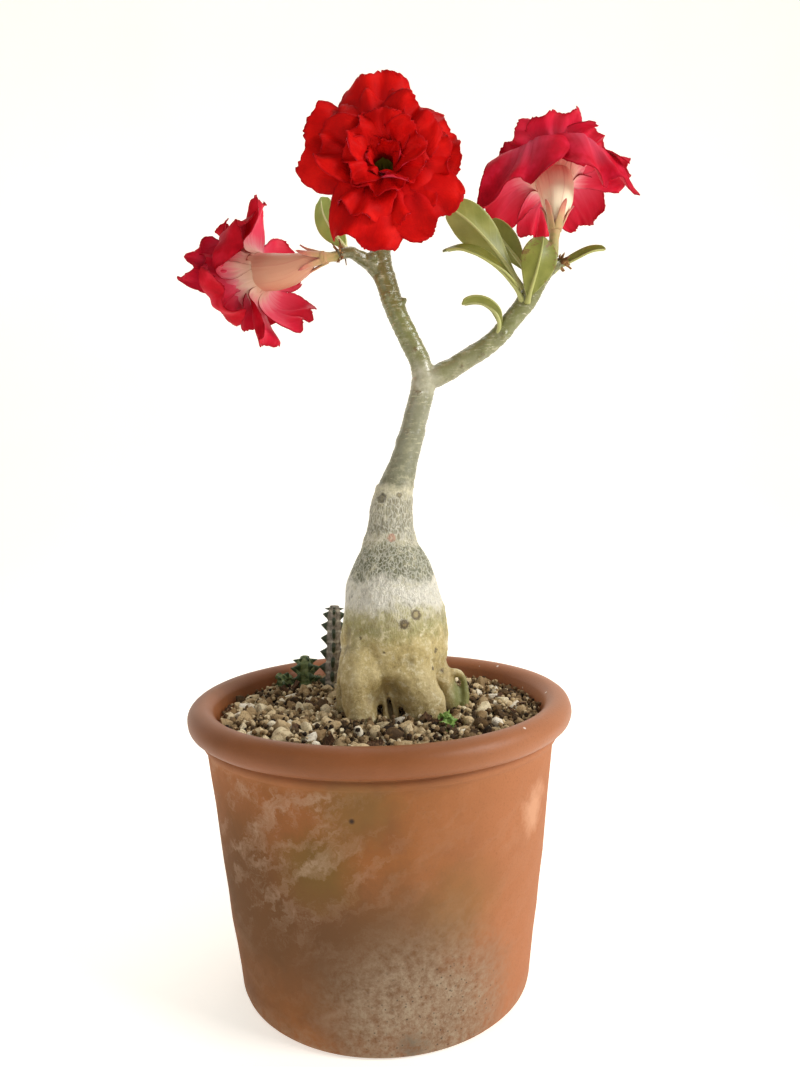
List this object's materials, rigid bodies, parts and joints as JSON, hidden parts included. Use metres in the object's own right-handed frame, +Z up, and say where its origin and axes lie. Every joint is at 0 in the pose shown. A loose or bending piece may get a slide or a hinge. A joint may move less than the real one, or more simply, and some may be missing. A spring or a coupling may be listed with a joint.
{
  "type": "potted desert rose adenium",
  "caption": "Desert rose plant with a swollen stem, a forked top, double ruffled blooms and leaves, standing in gravel in a round tapered pot with a rolled rim.",
  "frame": {"origin": "centre of the pot's foot, on its flat underside", "axes": "+Z up along the pot's axis; -Y towards the side that the front bloom faces; +X towards the branch with the leaves and the right bloom"},
  "size_m": [0.2412, 0.1998, 0.4511],
  "materials": {
    "terracotta": "matt fired clay, limed and weathered",
    "potting_mix": "damp crumbly mix",
    "pumice": "rough mixed stones",
    "bark": "wrinkled succulent bark with a dull sheen",
    "leaf": "leathery, satin",
    "petal": "velvety, paler and pinker on the back",
    "sepal": "soft, matt",
    "stamen": "soft, matt",
    "succulent": "fleshy, dull"
  },
  "bodies": {
    "root": {"pot": "terracotta", "soil": "potting_mix", "gravel": "pumice", "plant": "bark", "leaf_long": "leaf", "leaf_behind": "leaf", "leaf_low": "leaf", "leaf_front": "leaf", "leaf_small": "leaf", "leaf_right": "leaf", "leaf_left": "leaf", "bloom_front": "petal", "calyx_front": "sepal", "stamens_front": "stamen", "bloom_left": "petal", "calyx_left": "sepal", "stamens_left": "stamen", "bloom_right": "petal", "calyx_right": "sepal", "stamens_right": "stamen", "succulent_tall": "succulent", "succulent_low": "succulent", "succulent_slanting": "succulent", "succulent_seedling": "succulent"}
  },
  "joints": []
}
